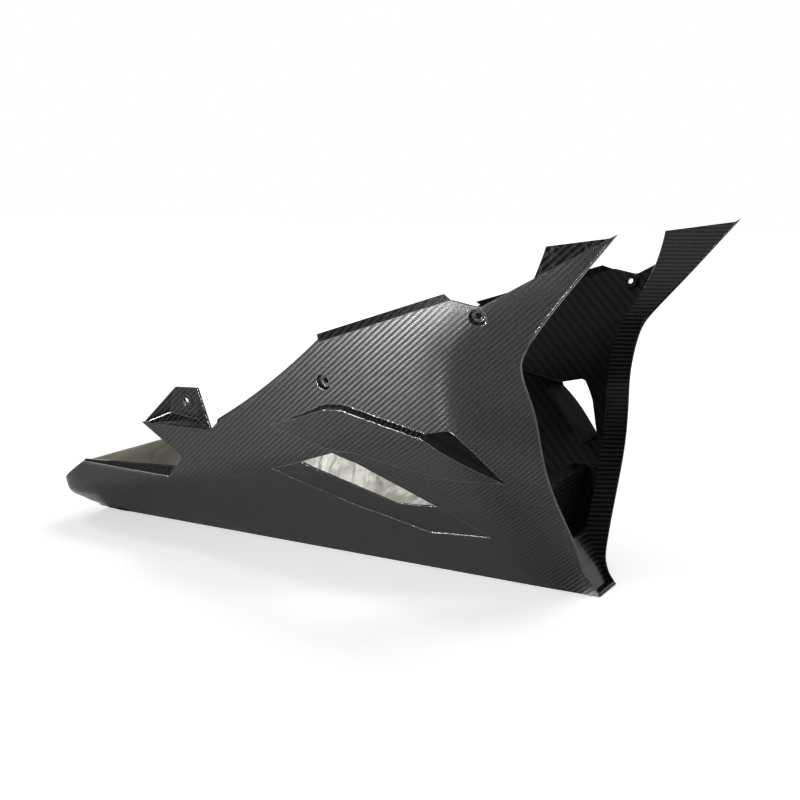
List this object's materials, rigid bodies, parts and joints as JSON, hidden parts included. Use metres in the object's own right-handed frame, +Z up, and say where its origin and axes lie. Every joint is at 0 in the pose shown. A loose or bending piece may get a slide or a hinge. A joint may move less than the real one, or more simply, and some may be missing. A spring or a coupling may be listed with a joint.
{
  "type": "motorcycle belly pan",
  "caption": "Carbon twill belly pan for a motorcycle: V-shaped shell with raised blades, vents, dished lugs, dished screw seats and heat foil inside its rear walls.",
  "frame": {"origin": "under the middle of the pan's length, on the flat of its keel", "axes": "+X to the front of the motorcycle, +Y to its left, +Z up"},
  "size_m": [0.692, 0.3874, 0.349],
  "materials": {
    "carbon_laminate": "clear-coated twill of carbon outside, bare matt laminate inside",
    "heat_foil": "crinkled self-adhesive foil"
  },
  "bodies": {
    "root": {"belly_pan_shell": "carbon_laminate", "heat_foil_right": "heat_foil", "heat_foil_left": "heat_foil"}
  },
  "joints": []
}
